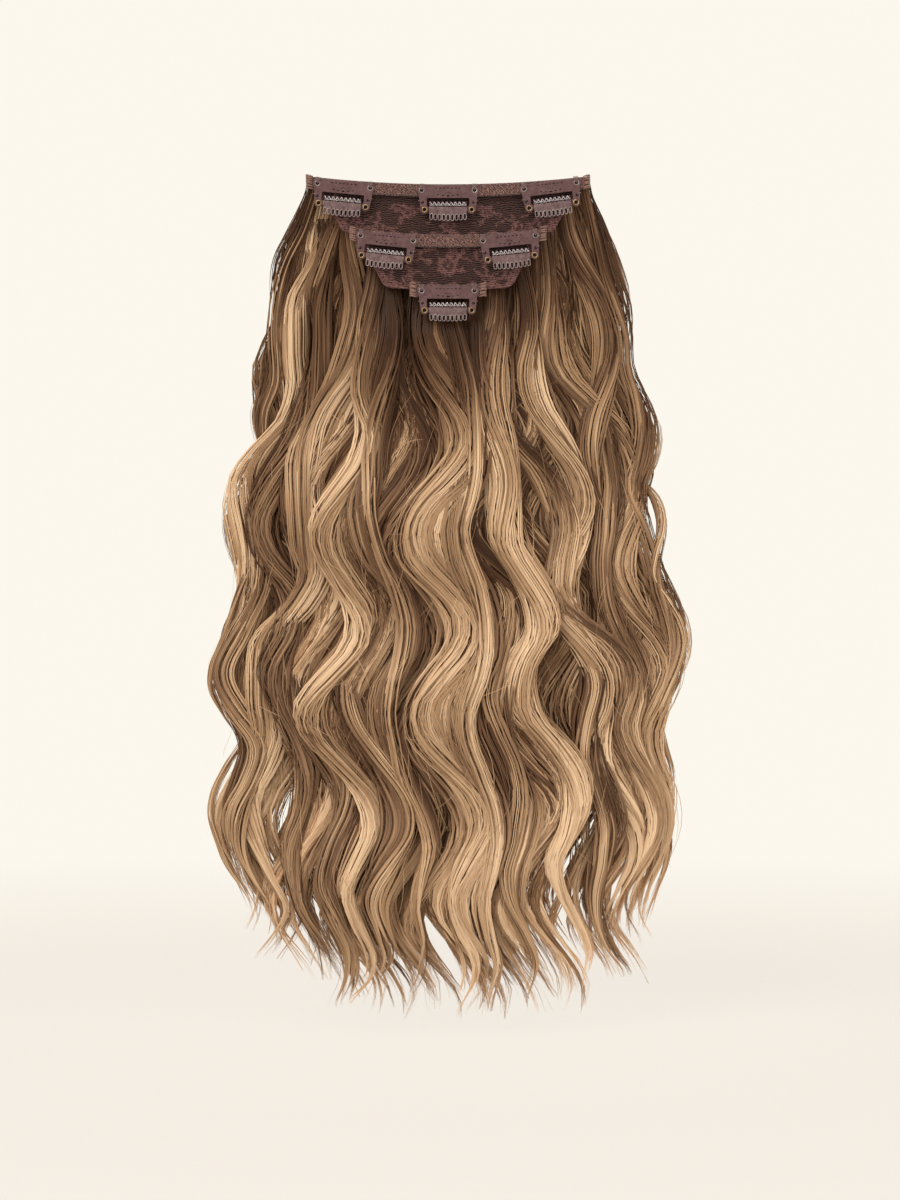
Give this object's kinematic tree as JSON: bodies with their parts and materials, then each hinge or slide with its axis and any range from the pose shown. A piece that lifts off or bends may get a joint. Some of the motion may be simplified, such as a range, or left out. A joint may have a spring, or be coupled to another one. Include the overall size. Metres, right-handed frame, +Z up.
{
  "type": "clip-in hair extension",
  "caption": "One-piece clip-in hair extension: long wavy hair in tiers on sewn bands and lace, with steel snap clips on the head side.",
  "frame": {"origin": "middle of the top band's head side, on the line where the top clips are sewn", "axes": "+Z up along the hanging hair, -Y towards the wearer's head, +X across the head to the right of someone who looks at the clips"},
  "size_m": [0.2504, 0.0461, 0.4334],
  "materials": {
    "band": "woven satin seam tape",
    "lace": "matt net with a raised floral ornament",
    "clip": "satin brown enamel",
    "comb": "satin brown enamel",
    "eyelet": "polished",
    "hair": "soft sheen of combed synthetic fibre"
  },
  "bodies": {
    "base": {"top_band": "band", "top_hair": "hair", "middle_band": "band", "middle_hair": "hair", "bottom_band": "band", "bottom_hair": "hair", "upper_lace": "lace", "lower_lace": "lace", "top_left_clip_frame": "clip", "top_left_clip_left_eyelet": "eyelet", "top_left_clip_right_eyelet": "eyelet", "top_middle_clip_frame": "clip", "top_middle_clip_left_eyelet": "eyelet", "top_middle_clip_right_eyelet": "eyelet", "top_right_clip_frame": "clip", "top_right_clip_left_eyelet": "eyelet", "top_right_clip_right_eyelet": "eyelet", "middle_left_clip_frame": "clip", "middle_left_clip_left_eyelet": "eyelet", "middle_left_clip_right_eyelet": "eyelet", "middle_right_clip_frame": "clip", "middle_right_clip_left_eyelet": "eyelet", "middle_right_clip_right_eyelet": "eyelet", "bottom_clip_frame": "clip", "bottom_clip_left_eyelet": "eyelet", "bottom_clip_right_eyelet": "eyelet"},
    "top_left_clip_comb": {"top_left_clip_comb": "comb"},
    "top_middle_clip_comb": {"top_middle_clip_comb": "comb"},
    "top_right_clip_comb": {"top_right_clip_comb": "comb"},
    "middle_left_clip_comb": {"middle_left_clip_comb": "comb"},
    "middle_right_clip_comb": {"middle_right_clip_comb": "comb"},
    "bottom_clip_comb": {"bottom_clip_comb": "comb"}
  },
  "joints": [
    {"name": "top_left_clip_hinge", "type": "hinge", "parent": "base", "child": "top_left_clip_comb", "pos_m": [-0.05457, 0.0007, -0.00776], "axis": [-0.9959, 0, 0.0907], "range_deg": [0, 25]},
    {"name": "top_middle_clip_hinge", "type": "hinge", "parent": "base", "child": "top_middle_clip_comb", "pos_m": [0, 0.0007, -0.0101], "axis": [-1, 0, 0], "range_deg": [0, 25]},
    {"name": "top_right_clip_hinge", "type": "hinge", "parent": "base", "child": "top_right_clip_comb", "pos_m": [0.05383, 0.0007, -0.00782], "axis": [-0.9921, 0, -0.1254], "range_deg": [0, 25]},
    {"name": "middle_left_clip_hinge", "type": "hinge", "parent": "base", "child": "middle_left_clip_comb", "pos_m": [-0.0325, 0.0007, -0.0347], "axis": [-0.9951, 0, 0.0992], "range_deg": [0, 25]},
    {"name": "middle_right_clip_hinge", "type": "hinge", "parent": "base", "child": "middle_right_clip_comb", "pos_m": [0.03254, 0.0007, -0.0347], "axis": [-0.9947, 0, -0.1027], "range_deg": [0, 25]},
    {"name": "bottom_clip_hinge", "type": "hinge", "parent": "base", "child": "bottom_clip_comb", "pos_m": [0, 0.0007, -0.0619], "axis": [-1, 0, 0], "range_deg": [0, 25]}
  ]
}
